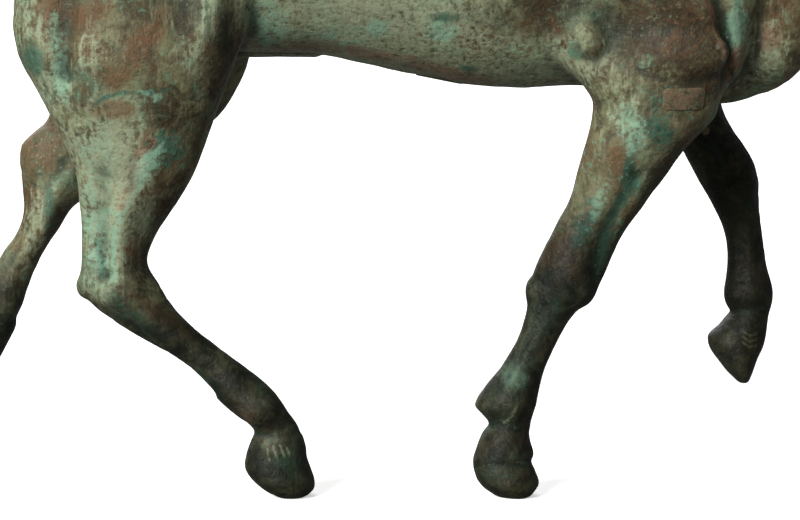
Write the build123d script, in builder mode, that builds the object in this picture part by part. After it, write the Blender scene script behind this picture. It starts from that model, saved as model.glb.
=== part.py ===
"""A trotting horse, a bronze statuette cast hollow in sections and pinned together.

The frame has +X towards the horse's head, +Y towards its left side and +Z up. The origin is on the
plane of the plinth's top, under the middle of the whole length. All sizes are in millimetres.

The castings are a hollow torso, a hollow neck, a head, two ears, a roached mane, a forelock, a tail
and four legs. Each leg slips over a spigot under the torso and is locked by a cross pin. A sleeve
joins the neck to the torso. The two hooves that reach the plinth each hold a tapped bush for a stud.
"""

from build123d import *
from collections import namedtuple
from math import cos, radians, sin
import os

os.makedirs("parts", exist_ok=True)

# ---------------------------------------------------------------- driving dimensions
WALL = 6.0  # thickness of the hollow castings
LEG_SPREAD = 40.0  # from the middle plane to the middle of a leg
FORE_SEAM = 194.0  # height of the seams between the torso and the fore legs
HIND_SEAM = 200.0
SEAM_REACH = 27.0  # how far past its seam the skin of a leg is shaped before it is cut
FIT_GAP = 0.05  # clearance all round a spigot, a bush or a pin
PIN_RADIUS = 2.4
PIN_ROOM = 40.0  # from the middle of a leg to well outside it

BUSH_RADIUS = 5.5
BUSH_LENGTH = 16.0
STUD_HOLE_RADIUS = 3.4  # tapping size for an M8 stud

CORE_PLUG_X = 20.0
CORE_PLUG_RADIUS = 12.0
CHAPLET_SIDE = 3.2
# Places in the side view where a square chaplet held the mould off the core.
CHAPLETS = ((-62, 318), (-30, 268), (30, 326), (64, 270))

PATCH_LENGTH = 22.0
PATCH_HEIGHT = 11.0
PATCH_CORNER = 2.5
PATCH_DEPTH = 4.5
PATCH_CENTRE = (139.0, -59.5, 202.0)
PATCH_TURN = 20.0  # degrees that the patch faces forward of straight out

SLEEVE_HALF = 17.0  # how far the neck sleeve reaches to each side of its seam
SLEEVE_WALL = 4.0
NECK_PIN_RADIUS = 2.0
NECK_PIN_INNER = 21.0  # from the middle plane to the inner end of a neck pin
NECK_PIN_SPREAD = 18.0  # from the neck's middle line to a pin, in the side view
NECK_PIN_ROWS = (-10.0, 10.0)  # from the neck seam

HEAD_DOWEL_RADIUS = 8.0
HEAD_DOWEL_HALF = 14.0
TAIL_SPIGOT_RADIUS = 6.0
TAIL_SPIGOT_LENGTH = 20.0
PEG_RADIUS = 2.0  # pegs of the ears, the forelock and the mane

MANE_THICKNESS = 9.0
MANE_RISE = 12.0
MANE_SINK = 2.5  # depth of the groove along the neck's crest
MANE_FOOT = 400.0  # height at which the mane starts, above the withers
EAR_SPREAD = 10.0
EAR_TILT = 16.0  # degrees outwards
FORELOCK_PEG = 20.0  # along the head's axis
FORELOCK_PEG_FOOT = 13.0  # out from the head's axis
FORELOCK_PEG_TOP = 28.0

# ---------------------------------------------------------------- outlines
# One cross-section of a limb: the place of its centre in the side view, half its size in that view
# and half its size across the horse.
Ring = namedtuple("Ring", "x z depth width")
# One upright cross-section of the trunk.
Hoop = namedtuple("Hoop", "x top bottom width")
# One cross-section of the head, this far along its axis, with the distance out to the forehead line.
Slice = namedtuple("Slice", "along front depth width")
# A leg: which side it is on, its skin down to the fetlock, its hoof, its seam, and the line that the
# torso's spigot follows inside it, as a start and an end in the side view.
Leg = namedtuple("Leg", "side rings hoof seam start end radius stud_x")

RIGHT, LEFT = -1, 1

TRUNK = (
    Hoop(-188, 338, 286, 20),
    Hoop(-166, 371, 250, 46),
    Hoop(-120, 388, 232, 59),
    Hoop(-70, 381, 220, 61),
    Hoop(-15, 370, 216, 64),
    Hoop(40, 370, 206, 65),
    Hoop(90, 383, 205, 60),
    Hoop(130, 391, 203, 54),
    Hoop(165, 372, 197, 48),
    Hoop(195, 335, 208, 38),
    Hoop(214, 300, 232, 22),
)
CAVITY = TRUNK[2:9]  # the hoops between which the torso is hollow

NECK = (
    Ring(150, 318, 72, 47),
    Ring(166, 360, 64, 43),
    Ring(184, 405, 53, 36),
    Ring(203, 447, 43.5, 29),
    Ring(224, 480, 36, 24),
    Ring(246, 499, 31, 21),
    Ring(266, 508, 26, 18),
)
NECK_SEAM = NECK[2]
HOLLOW_NECK = NECK[:5]
MANE_RINGS = NECK[1:6]
MANE_PEG_RINGS = NECK[3:6]
HEAD_SEAM = NECK[5]
HEAD_SEAM_NORMAL = Vector(0.89, 0, 0.456)

RIGHT_HIND = (
    Ring(-127, 356, 32, 7),
    Ring(-130, 330, 45, 24),
    Ring(-138, 285, 57, 31),
    Ring(-137, 247, 55.5, 32),
    Ring(-135, 222, 50.5, 31),
    Ring(-133, 200, 44.5, 27),
    Ring(-132, 176, 33.5, 22),
    Ring(-136, 150, 24, 17),
    Ring(-141.5, 128, 17.6, 14),
    Ring(-137, 106, 17.6, 12.5),
    Ring(-121, 89.5, 11.2, 10.3),
    Ring(-103.5, 76, 8.4, 8.6),
    Ring(-88, 62.5, 9.4, 9.4),
    Ring(-74, 48, 12, 11.5),
    Ring(-65, 35, 12, 11.5),
)
RIGHT_HIND_HOOF = (
    Ring(-66, 38, 11.5, 11),
    Ring(-61, 23, 15.5, 14.5),
    Ring(-57.5, 11.5, 17, 16.5),
    Ring(-54, 2, 13, 13),
)
RIGHT_FORE = (
    Ring(136, 322, 26, 8),
    Ring(134, 290, 36, 23),
    Ring(132, 258, 38, 27),
    Ring(129, 232, 37, 26),
    Ring(126.5, 212, 35, 24.5),
    Ring(124, 194, 32, 22.5),
    Ring(115.5, 172, 22, 17.5),
    Ring(105.5, 153, 18, 15),
    Ring(95.5, 136, 16, 13.5),
    Ring(87, 118, 16.3, 13.5),
    Ring(79, 100, 13.2, 11.8),
    Ring(70.5, 82, 9.4, 9.2),
    Ring(63, 68, 9.8, 9.6),
    Ring(55, 50, 13.8, 12),
    Ring(54.5, 37, 12, 11.5),
)
RIGHT_FORE_HOOF = (
    Ring(54.5, 40, 11.5, 11),
    Ring(53, 26, 14.2, 14.5),
    Ring(54, 13, 16.8, 16.8),
    Ring(57, 2, 13, 14),
)
LEFT_FORE = (
    Ring(136, 322, 26, 8),
    Ring(134, 290, 36, 23),
    Ring(138, 258, 36, 26),
    Ring(142, 232, 32.5, 24),
    Ring(146.5, 212, 26.5, 20.5),
    Ring(151.5, 194, 20.5, 17),
    Ring(160, 179, 15.5, 14.5),
    Ring(168.5, 164, 15.4, 13.5),
    Ring(176, 148, 13.6, 12.4),
    Ring(181, 130, 10, 9.4),
    Ring(183.3, 112, 9.8, 9.4),
    Ring(185, 95, 12.6, 11.5),
    Ring(185, 81, 10.8, 11),
)
LEFT_FORE_HOOF = (
    Ring(185.3, 84, 10.8, 11),
    Ring(181, 72, 13.5, 13.5),
    Ring(175, 62, 15.5, 16),
    Ring(169.5, 54, 13, 14),
)
LEFT_HIND = (
    Ring(-126, 356, 32, 7),
    Ring(-128, 330, 45, 24),
    Ring(-130, 285, 57, 31),
    Ring(-127, 247, 54, 32),
    Ring(-128.5, 222, 49.5, 31.5),
    Ring(-134, 200, 41, 28),
    Ring(-152, 184, 27, 20),
    Ring(-171, 171, 19.5, 15.5),
    Ring(-185, 154, 15.5, 13),
    Ring(-190, 132, 10.4, 10),
    Ring(-199, 110, 9, 8.8),
    Ring(-209, 89, 12, 11.2),
    Ring(-216, 76, 11, 11),
)
LEFT_HIND_HOOF = (
    Ring(-215, 78, 11, 11),
    Ring(-223, 64, 14.2, 14),
    Ring(-230, 51, 16, 16),
    Ring(-235, 42, 13, 13.5),
)
LEGS = {
    "right_fore": Leg(RIGHT, RIGHT_FORE, RIGHT_FORE_HOOF, FORE_SEAM, (120, 194), (112, 171), 9.0, 58.0),
    "left_fore": Leg(LEFT, LEFT_FORE, LEFT_FORE_HOOF, FORE_SEAM, (152, 194), (163, 175), 8.5, None),
    "right_hind": Leg(RIGHT, RIGHT_HIND, RIGHT_HIND_HOOF, HIND_SEAM, (-125, 200), (-124, 170), 12.0, -56.0),
    "left_hind": Leg(LEFT, LEFT_HIND, LEFT_HIND_HOOF, HIND_SEAM, (-138, 200), (-156, 185), 11.0, None),
}

TAIL = (
    Ring(-158, 330, 11, 11),
    Ring(-175, 341, 11, 11),
    Ring(-194, 349, 11.5, 11.5),
    Ring(-214, 352, 12.5, 12),
    Ring(-240, 340, 14.5, 13),
    Ring(-263, 310, 17, 14),
    Ring(-280, 268, 19, 15),
    Ring(-294, 222, 19, 14),
    Ring(-308, 176, 16, 12),
    Ring(-325, 136, 10, 9),
    Ring(-343, 108, 4, 4),
)
TAIL_SEAM = TAIL[2]

POLL = (244.0, 511.0)  # where the head's axis starts, in the side view
HEAD_DROP = 50.0  # degrees below level
HEAD = (
    Slice(-8, 12, 17, 15),
    Slice(14, 23, 29, 22),
    Slice(38, 24, 35, 25.5),
    Slice(62, 23, 31, 21),
    Slice(88, 20.5, 23.5, 16.5),
    Slice(114, 19, 20.5, 16),
    Slice(134, 18.5, 19, 16),
    Slice(148, 11, 11, 10),
)
EAR = (
    Ring(246, 513, 6, 4.5),
    Ring(249, 523, 7.5, 5.2),
    Ring(252.5, 534, 6.5, 4.4),
    Ring(255, 544, 3.8, 2.8),
    Ring(256.5, 551, 1.2, 1),
)
FORELOCK = (
    Ring(242, 527, 4.5, 5.5),
    Ring(254, 528, 6, 7.5),
    Ring(267, 520, 6.5, 8),
    Ring(279, 509, 6, 7.5),
    Ring(289.5, 497, 4.5, 5.5),
    Ring(297, 486, 2, 2.5),
)


# ---------------------------------------------------------------- helpers
def run_of(rings, i):
    """The direction in which a limb runs at one of its rings."""
    before = rings[max(i - 1, 0)]
    after = rings[min(i + 1, len(rings) - 1)]
    return Vector(after.x - before.x, 0, after.z - before.z).normalized()


def limb(rings, y=0.0, inset=0.0):
    """A smooth closed solid through a limb's rings, each square to the direction it runs in."""
    with BuildPart() as solid:
        for i, ring in enumerate(rings):
            run = run_of(rings, i)
            plane = Plane(origin=(ring.x, y, ring.z), x_dir=Vector(0, 1, 0).cross(run), z_dir=run)
            with BuildSketch(plane):
                Ellipse(ring.depth - inset, ring.width - inset)
        loft()
    return solid.part


def barrel(hoops, inset=0.0):
    """A smooth closed solid through the trunk's hoops, made smaller all round by the inset."""
    with BuildPart() as solid:
        for hoop in hoops:
            middle = (hoop.top + hoop.bottom) / 2
            half = (hoop.top - hoop.bottom) / 2
            plane = Plane(origin=(hoop.x, 0, middle), x_dir=(0, 1, 0), z_dir=(1, 0, 0))
            with BuildSketch(plane):
                Ellipse(hoop.width - inset, half - inset)
        loft()
    return solid.part


def head_point(along, out):
    """A point in the side view, this far down the head's axis and this far out to the forehead."""
    drop = radians(HEAD_DROP)
    x = POLL[0] + along * cos(drop) + out * sin(drop)
    z = POLL[1] - along * sin(drop) + out * cos(drop)
    return Vector(x, 0, z)


def skull():
    """The smooth solid of the head, through its slices."""
    run = head_point(1, 0) - head_point(0, 0)
    with BuildPart() as solid:
        for cut in HEAD:
            middle = head_point(cut.along, cut.front - cut.depth)
            plane = Plane(origin=middle, x_dir=Vector(0, 1, 0).cross(run), z_dir=run)
            with BuildSketch(plane):
                Ellipse(cut.depth, cut.width)
        loft()
    return solid.part


def rod(start, end, radius):
    """A plain round rod between two points."""
    start, end = Vector(start), Vector(end)
    with BuildPart() as solid:
        with BuildSketch(Plane(origin=start, z_dir=end - start)):
            Circle(radius)
        extrude(amount=(end - start).length)
    return solid.part


# ---------------------------------------------------------------- joints of the legs
def spigot_rod(leg, gap=0.0):
    """The round spigot that reaches down into a leg, from a little inside the torso."""
    start = Vector(leg.start[0], leg.side * LEG_SPREAD, leg.start[1])
    end = Vector(leg.end[0], leg.side * LEG_SPREAD, leg.end[1])
    along = (end - start).normalized()
    return rod(start - along * leg.radius, end + along * gap, leg.radius + gap)


def leg_pin_rod(leg, gap=0.0):
    """The cross pin's rod. A hind pin runs right through; a fore pin stops inside the outer wall."""
    x = (leg.start[0] + 2 * leg.end[0]) / 3
    z = (leg.start[1] + 2 * leg.end[1]) / 3
    middle = leg.side * LEG_SPREAD
    outer = PIN_ROOM if leg.seam == HIND_SEAM else leg.radius
    start = (x, middle - leg.side * PIN_ROOM, z)
    end = (x, middle + leg.side * (outer + gap), z)
    return rod(start, end, PIN_RADIUS + gap)


# ---------------------------------------------------------------- legs, their pins and bushes
for name, leg in LEGS.items():
    middle = leg.side * LEG_SPREAD

    with BuildPart() as hoof:
        add(limb(leg.hoof, middle))
        if leg.stud_x:
            split(bisect_by=Plane.XY, keep=Keep.TOP)

    with BuildPart() as skin:
        add(limb([ring for ring in leg.rings if ring.z < leg.seam + SEAM_REACH], middle))
        split(bisect_by=Plane.XY.offset(leg.seam), keep=Keep.BOTTOM)
        add(hoof.part)

    with BuildPart() as casting:
        add(skin.part)
        add(spigot_rod(leg, FIT_GAP), mode=Mode.SUBTRACT)
        add(leg_pin_rod(leg, FIT_GAP), mode=Mode.SUBTRACT)
        if leg.stud_x:
            with Locations((leg.stud_x, middle, BUSH_LENGTH / 2)):
                Cylinder(BUSH_RADIUS + FIT_GAP, BUSH_LENGTH, mode=Mode.SUBTRACT)
    casting.part.label = f"{name}_leg"
    export_step(casting.part, f"parts/{name}_leg.step")

    with BuildPart() as pin:
        add(leg_pin_rod(leg))
        add(skin.part, mode=Mode.INTERSECT)
    pin.part.label = f"{name}_pin"
    export_step(pin.part, f"parts/{name}_pin.step")

    if leg.stud_x:
        with BuildPart() as bush:
            with Locations((leg.stud_x, middle, BUSH_LENGTH / 2)):
                Cylinder(BUSH_RADIUS, BUSH_LENGTH)
                Hole(STUD_HOLE_RADIUS)
        bush.part.label = f"{name}_stud_bush"
        export_step(bush.part, f"parts/{name}_stud_bush.step")

# ---------------------------------------------------------------- skins, cavities and seams
neck_run = run_of(NECK, NECK.index(NECK_SEAM))
neck_across = Vector(neck_run.Z, 0, -neck_run.X)
neck_seam_centre = Vector(NECK_SEAM.x, 0, NECK_SEAM.z)
neck_seam = Plane(origin=neck_seam_centre, z_dir=neck_run)
head_seam_centre = Vector(HEAD_SEAM.x, 0, HEAD_SEAM.z)
head_seam = Plane(origin=head_seam_centre, z_dir=HEAD_SEAM_NORMAL)
tail_run = run_of(TAIL, TAIL.index(TAIL_SEAM))
tail_seam_centre = Vector(TAIL_SEAM.x, 0, TAIL_SEAM.z)
tail_seam = Plane(origin=tail_seam_centre, z_dir=tail_run)

trunk = barrel(TRUNK)
trunk_cavity = barrel(CAVITY, inset=WALL)
neck_skin = limb(NECK)
neck_cavity = limb(HOLLOW_NECK, inset=WALL)
tail_skin = limb(TAIL)

with BuildPart() as poll:
    add(neck_skin)
    add(skull())


# ---------------------------------------------------------------- mane
def crest(ring, rise):
    """A point on the crest of the neck behind a ring, raised out of the skin."""
    run = run_of(NECK, NECK.index(ring))
    behind = Vector(-run.Z, 0, run.X)
    return Vector(ring.x, 0, ring.z) + behind * (ring.depth + rise)


low = [crest(ring, -MANE_SINK) for ring in MANE_RINGS]
high = [crest(ring, MANE_RISE) for ring in MANE_RINGS]
mane_pegs = [(crest(ring, -WALL - MANE_SINK), crest(ring, MANE_RISE / 2)) for ring in MANE_PEG_RINGS]
mane_peg_holes = [rod(foot, top, PEG_RADIUS + FIT_GAP) for foot, top in mane_pegs]

with BuildPart() as mane_blank:
    with BuildSketch(Plane.XZ):
        with BuildLine():
            foot_line = Spline(*[(point.X, point.Z) for point in low])
            top_line = Spline(*[(point.X, point.Z) for point in high])
            Line(foot_line @ 0, top_line @ 0)
            Line(foot_line @ 1, top_line @ 1)
        make_face()
    extrude(amount=MANE_THICKNESS / 2, both=True)
    split(bisect_by=Plane.XY.offset(MANE_FOOT), keep=Keep.TOP)

with BuildPart() as mane:
    add(mane_blank.part)
    for hole in mane_peg_holes:
        add(hole, mode=Mode.SUBTRACT)
mane.part.label = "mane"
export_step(mane.part, "parts/mane.step")

with BuildPart() as mane_peg_group:
    for foot, top in mane_pegs:
        add(rod(foot, top, PEG_RADIUS))
mane_peg_group.part.label = "mane_pegs"
export_step(mane_peg_group.part, "parts/mane_pegs.step")

# ---------------------------------------------------------------- neck sleeve and its pins
neck_pins = []
for side in (RIGHT, LEFT):
    for row in NECK_PIN_ROWS:
        for spread in (-NECK_PIN_SPREAD, NECK_PIN_SPREAD):
            place = neck_seam_centre + neck_run * row + neck_across * spread
            inner = place + Vector(0, side * NECK_PIN_INNER, 0)
            outer = place + Vector(0, side * NECK_SEAM.width * 2, 0)
            neck_pins.append((side, inner, outer))
neck_pin_holes = [rod(inner, outer, NECK_PIN_RADIUS + FIT_GAP) for side, inner, outer in neck_pins]

with BuildPart() as neck_sleeve:
    add(limb(HOLLOW_NECK, inset=WALL + FIT_GAP))
    add(limb(HOLLOW_NECK, inset=WALL + FIT_GAP + SLEEVE_WALL), mode=Mode.SUBTRACT)
    split(bisect_by=neck_seam.offset(-SLEEVE_HALF), keep=Keep.TOP)
    split(bisect_by=neck_seam.offset(SLEEVE_HALF), keep=Keep.BOTTOM)
    for hole in neck_pin_holes:
        add(hole, mode=Mode.SUBTRACT)
neck_sleeve.part.label = "neck_sleeve"
export_step(neck_sleeve.part, "parts/neck_sleeve.step")

for wanted_side, word in ((RIGHT, "right"), (LEFT, "left")):
    with BuildPart() as pins:
        for side, inner, outer in neck_pins:
            if side == wanted_side:
                add(rod(inner, outer, NECK_PIN_RADIUS))
        add(neck_skin, mode=Mode.INTERSECT)
    pins.part.label = f"{word}_neck_pins"
    export_step(pins.part, f"parts/{word}_neck_pins.step")

# ---------------------------------------------------------------- neck and head dowel
dowel_start = head_seam_centre - HEAD_SEAM_NORMAL * HEAD_DOWEL_HALF
dowel_end = head_seam_centre + HEAD_SEAM_NORMAL * HEAD_DOWEL_HALF
dowel_gap = HEAD_SEAM_NORMAL * FIT_GAP
dowel_socket = rod(dowel_start - dowel_gap, dowel_end + dowel_gap, HEAD_DOWEL_RADIUS + FIT_GAP)

with BuildPart() as neck:
    add(poll.part)
    split(bisect_by=neck_seam, keep=Keep.TOP)
    split(bisect_by=head_seam, keep=Keep.BOTTOM)
    add(neck_cavity, mode=Mode.SUBTRACT)
    add(mane_blank.part, mode=Mode.SUBTRACT)
    add(dowel_socket, mode=Mode.SUBTRACT)
    for hole in neck_pin_holes + mane_peg_holes:
        add(hole, mode=Mode.SUBTRACT)
neck.part.label = "neck"
export_step(neck.part, "parts/neck.step")

with BuildPart() as head_dowel:
    add(rod(dowel_start, dowel_end, HEAD_DOWEL_RADIUS))
head_dowel.part.label = "head_dowel"
export_step(head_dowel.part, "parts/head_dowel.step")

# ---------------------------------------------------------------- ears
ear_peg_holes = []
for side, word in ((RIGHT, "right"), (LEFT, "left")):
    peg_foot = Vector(EAR[0].x, side * EAR_SPREAD, EAR[0].z)
    peg_top = Vector(EAR[2].x, side * EAR_SPREAD, EAR[2].z)
    lean = Axis(peg_foot, (1, 0, 0))
    tilt = -side * EAR_TILT
    ear_peg_holes.append(rod(peg_foot, peg_top, PEG_RADIUS + FIT_GAP).rotate(lean, tilt))
    with BuildPart() as ear:
        add(limb(EAR, side * EAR_SPREAD).rotate(lean, tilt))
        add(poll.part, mode=Mode.SUBTRACT)
        add(rod(peg_foot, peg_top, PEG_RADIUS).rotate(lean, tilt))
    ear.part.label = f"{word}_ear"
    export_step(ear.part, f"parts/{word}_ear.step")

# ---------------------------------------------------------------- forelock and head
lock_peg_foot = head_point(FORELOCK_PEG, FORELOCK_PEG_FOOT)
lock_peg_top = head_point(FORELOCK_PEG, FORELOCK_PEG_TOP)

with BuildPart() as forelock:
    add(limb(FORELOCK))
    add(poll.part, mode=Mode.SUBTRACT)
    add(mane_blank.part, mode=Mode.SUBTRACT)
    add(rod(lock_peg_foot, lock_peg_top, PEG_RADIUS))
forelock.part.label = "forelock"
export_step(forelock.part, "parts/forelock.step")

with BuildPart() as head:
    add(poll.part)
    split(bisect_by=head_seam, keep=Keep.TOP)
    add(dowel_socket, mode=Mode.SUBTRACT)
    add(rod(lock_peg_foot, lock_peg_top, PEG_RADIUS + FIT_GAP), mode=Mode.SUBTRACT)
    for hole in ear_peg_holes:
        add(hole, mode=Mode.SUBTRACT)
    add(mane_blank.part, mode=Mode.SUBTRACT)
head.part.label = "head"
export_step(head.part, "parts/head.step")

# ---------------------------------------------------------------- tail and its pin's hole
tail_spigot_start = tail_seam_centre + tail_run * TAIL_SPIGOT_RADIUS
tail_spigot_end = tail_seam_centre - tail_run * TAIL_SPIGOT_LENGTH
tail_pin_place = tail_seam_centre - tail_run * (TAIL_SPIGOT_LENGTH / 2)
tail_pin_foot = tail_pin_place - Vector(0, 0, TAIL_SPIGOT_RADIUS + PEG_RADIUS)
tail_pin_top = tail_pin_place + Vector(0, 0, TAIL_SPIGOT_LENGTH)
tail_pin_hole = rod(tail_pin_foot, tail_pin_top, PEG_RADIUS + FIT_GAP)

with BuildPart() as tail:
    add(tail_skin)
    split(bisect_by=tail_seam, keep=Keep.TOP)
    add(rod(tail_spigot_start, tail_spigot_end, TAIL_SPIGOT_RADIUS))
    add(tail_pin_hole, mode=Mode.SUBTRACT)
tail.part.label = "tail"
export_step(tail.part, "parts/tail.step")

# ---------------------------------------------------------------- skin of the torso
with BuildPart() as dock:
    add(tail_skin)
    split(bisect_by=tail_seam, keep=Keep.BOTTOM)

with BuildPart() as neck_root:
    add(neck_skin)
    split(bisect_by=neck_seam, keep=Keep.BOTTOM)

haunches = []
for leg in LEGS.values():
    with BuildPart() as haunch:
        add(limb([ring for ring in leg.rings if ring.z > leg.seam - SEAM_REACH], leg.side * LEG_SPREAD))
        split(bisect_by=Plane.XY.offset(leg.seam), keep=Keep.TOP)
    haunches.append(haunch.part)

with BuildPart() as torso_skin:
    add(trunk)
    add(dock.part)
    add(neck_root.part)
    for haunch in haunches:
        add(haunch)

with BuildPart() as torso_shell:
    add(torso_skin.part)
    add(trunk_cavity, mode=Mode.SUBTRACT)
    add(neck_cavity, mode=Mode.SUBTRACT)

# ---------------------------------------------------------------- plugs and patch in the torso
patch_turn = radians(PATCH_TURN)
patch_out = Vector(sin(patch_turn), -cos(patch_turn), 0)

with BuildPart() as patch_block:
    with BuildSketch(Plane(origin=PATCH_CENTRE, x_dir=(0, 0, 1), z_dir=patch_out)):
        RectangleRounded(PATCH_HEIGHT, PATCH_LENGTH, PATCH_CORNER)
    extrude(amount=PATCH_DEPTH, both=True)

with BuildPart() as repair_patch:
    add(patch_block.part)
    add(torso_shell.part, mode=Mode.INTERSECT)
repair_patch.part.label = "repair_patch"
export_step(repair_patch.part, "parts/repair_patch.step")

with BuildPart() as chaplet_bars:
    with BuildSketch(Plane.XZ):
        with Locations(*CHAPLETS):
            Rectangle(CHAPLET_SIDE, CHAPLET_SIDE)
    extrude(amount=LEG_SPREAD * 2, both=True)

with BuildPart() as chaplets:
    add(chaplet_bars.part)
    add(trunk, mode=Mode.INTERSECT)
    add(trunk_cavity, mode=Mode.SUBTRACT)
chaplets.part.label = "chaplets"
export_step(chaplets.part, "parts/chaplets.step")

plug_foot = Vector(CORE_PLUG_X, 0, FORE_SEAM)
plug_top = plug_foot + Vector(0, 0, LEG_SPREAD)

with BuildPart() as core_plug:
    add(rod(plug_foot, plug_top, CORE_PLUG_RADIUS))
    add(trunk, mode=Mode.INTERSECT)
    add(trunk_cavity, mode=Mode.SUBTRACT)
core_plug.part.label = "core_plug"
export_step(core_plug.part, "parts/core_plug.step")

with BuildPart() as tail_pin:
    add(rod(tail_pin_foot, tail_pin_top, PEG_RADIUS))
    add(torso_skin.part, mode=Mode.INTERSECT)
tail_pin.part.label = "tail_pin"
export_step(tail_pin.part, "parts/tail_pin.step")

# ---------------------------------------------------------------- torso
with BuildPart() as torso:
    add(torso_shell.part)
    add(mane_blank.part, mode=Mode.SUBTRACT)
    add(patch_block.part, mode=Mode.SUBTRACT)
    add(chaplet_bars.part, mode=Mode.SUBTRACT)
    add(rod(plug_foot, plug_top, CORE_PLUG_RADIUS + FIT_GAP), mode=Mode.SUBTRACT)
    add(rod(tail_spigot_start, tail_spigot_end - tail_run * FIT_GAP, TAIL_SPIGOT_RADIUS + FIT_GAP),
        mode=Mode.SUBTRACT)
    add(tail_pin_hole, mode=Mode.SUBTRACT)
    for hole in neck_pin_holes:
        add(hole, mode=Mode.SUBTRACT)
    for leg in LEGS.values():
        add(spigot_rod(leg))
        add(leg_pin_rod(leg, FIT_GAP), mode=Mode.SUBTRACT)
torso.part.label = "torso"
export_step(torso.part, "parts/torso.step")
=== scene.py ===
"""A trotting bronze horse with a green and brown patina, on a pale floor in soft light.

The skin of the horse is modelled as clay: limbs, muscles and cords are solids that melt into each
other, creases are cut out of them, and the surface is taken off a fine grid. It is then cut at the
seams between the castings. The hair is swept along rings, and pins and plugs are let into the skin.
Lengths are in millimetres until a mesh is made, and metres after that.
"""
import itertools
import math

import bmesh
import bpy
import numpy as np
import openvdb
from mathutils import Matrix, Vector


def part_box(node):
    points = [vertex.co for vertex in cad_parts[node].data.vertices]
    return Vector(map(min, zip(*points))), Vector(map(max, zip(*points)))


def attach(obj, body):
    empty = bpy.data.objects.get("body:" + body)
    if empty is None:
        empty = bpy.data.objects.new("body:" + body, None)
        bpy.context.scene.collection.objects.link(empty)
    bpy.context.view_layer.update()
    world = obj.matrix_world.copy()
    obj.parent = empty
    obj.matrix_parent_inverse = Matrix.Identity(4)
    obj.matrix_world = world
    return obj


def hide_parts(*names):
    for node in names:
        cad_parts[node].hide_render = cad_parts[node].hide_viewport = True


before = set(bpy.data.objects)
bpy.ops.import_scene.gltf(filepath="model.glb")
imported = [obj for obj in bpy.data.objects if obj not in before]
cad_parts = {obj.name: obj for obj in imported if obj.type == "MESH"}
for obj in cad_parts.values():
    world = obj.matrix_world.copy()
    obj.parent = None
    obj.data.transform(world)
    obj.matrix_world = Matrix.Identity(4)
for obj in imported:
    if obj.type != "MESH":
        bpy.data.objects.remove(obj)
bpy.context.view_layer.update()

MM = 0.001
RIGHT, LEFT = -1, 1
LEG_SPREAD = 40.0  # from the middle plane to the middle of a leg

# ---- seams between the castings, each a place and the way out through it
UP = np.array([0.0, 0.0, 1.0])
FORE_SEAM = (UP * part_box("right_fore_leg")[1].z / MM, UP)
HIND_SEAM = (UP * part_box("right_hind_leg")[1].z / MM, UP)
NECK_RUN = np.array([0.391, 0, 0.920])  # up the neck, square to its seam
NECK_SEAM = (np.array([184, 0, 405]), NECK_RUN)
HEAD_SEAM = (np.array([246, 0, 499]), np.array([0.890, 0, 0.456]))
TAIL_SEAM = (np.array([-194, 0, 349]), np.array([-0.963, 0, 0.271]))

# ---- outlines
# Level cuts through a leg: height, rear edge, front edge and half the width across the horse.
RIGHT_HIND = (
    (256, -176, -104, 16), (240, -189, -90, 25), (226, -190, -86, 30.5), (202, -179.5, -89, 28.5),
    (184, -170.5, -95.5, 24.5), (166, -163, -102, 20.5), (148, -160.5, -112.5, 17),
    (130, -159.5, -123.5, 14.5), (118, -160, -126.8, 13.6), (107, -161.3, -120.5, 13),
    (100, -157, -116.5, 12.4), (88, -142.5, -106.3, 10.8), (76, -122.5, -92.3, 9), (66, -107, -79, 8.8),
    (58, -98.7, -68.7, 10), (48, -90.3, -59.7, 11.6), (42, -83.6, -56.2, 11.6),
    (38, -77.8, -53.4, 11.4), (34.5, -74.3, -51.4, 11.2), (28, -73.8, -49.4, 11),
)
RIGHT_HIND_HOOF = (
    (31.5, -74, -49.4, 12), (28, -75.6, -48.3, 13.2), (24.5, -77, -47.4, 14.4), (21, -78, -47.2, 14.4),
    (14, -78.5, -45.2, 16), (8, -74.5, -43.3, 16.3), (3.5, -69, -43.6, 15), (0, -63, -47, 12),
)
RIGHT_FORE = (
    (244, 112, 152, 12), (230, 101, 164, 21), (215, 90, 165, 26), (207, 92.5, 163, 25.5),
    (200, 96.3, 160, 24.5), (192, 96.2, 157.5, 23), (184, 94.5, 150, 21), (175, 92, 142, 18.5),
    (163, 88.5, 133.7, 16.5), (148, 84, 122.5, 14.8), (136, 77.5, 113.5, 13.8),
    (124, 71.5, 107.5, 13.6), (112, 67, 102.5, 13.6), (102, 65, 96, 12.6), (94, 63.5, 89, 11.4),
    (84, 60.7, 82, 9.8), (74, 55.7, 77, 9.2), (64, 49.5, 72.5, 9.6), (56, 43.2, 70.6, 11),
    (49.2, 38.6, 69.2, 11.9), (46.4, 37.8, 68.6, 12), (42, 41.4, 67.1, 11.8), (38.3, 44.4, 66, 11.5),
    (33, 46, 64.6, 11.2),
)
RIGHT_FORE_HOOF = (
    (37, 45.4, 65.6, 11.4), (33, 42.2, 65.1, 12.8), (28, 39.9, 65.7, 14), (23.5, 38.2, 67.1, 15.2),
    (21, 37.3, 67.4, 15.5), (18.5, 36.8, 66.4, 15.1), (13, 37.3, 68.2, 16.2), (6, 40.8, 70.2, 16.2),
    (0, 49, 66, 12),
)
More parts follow.
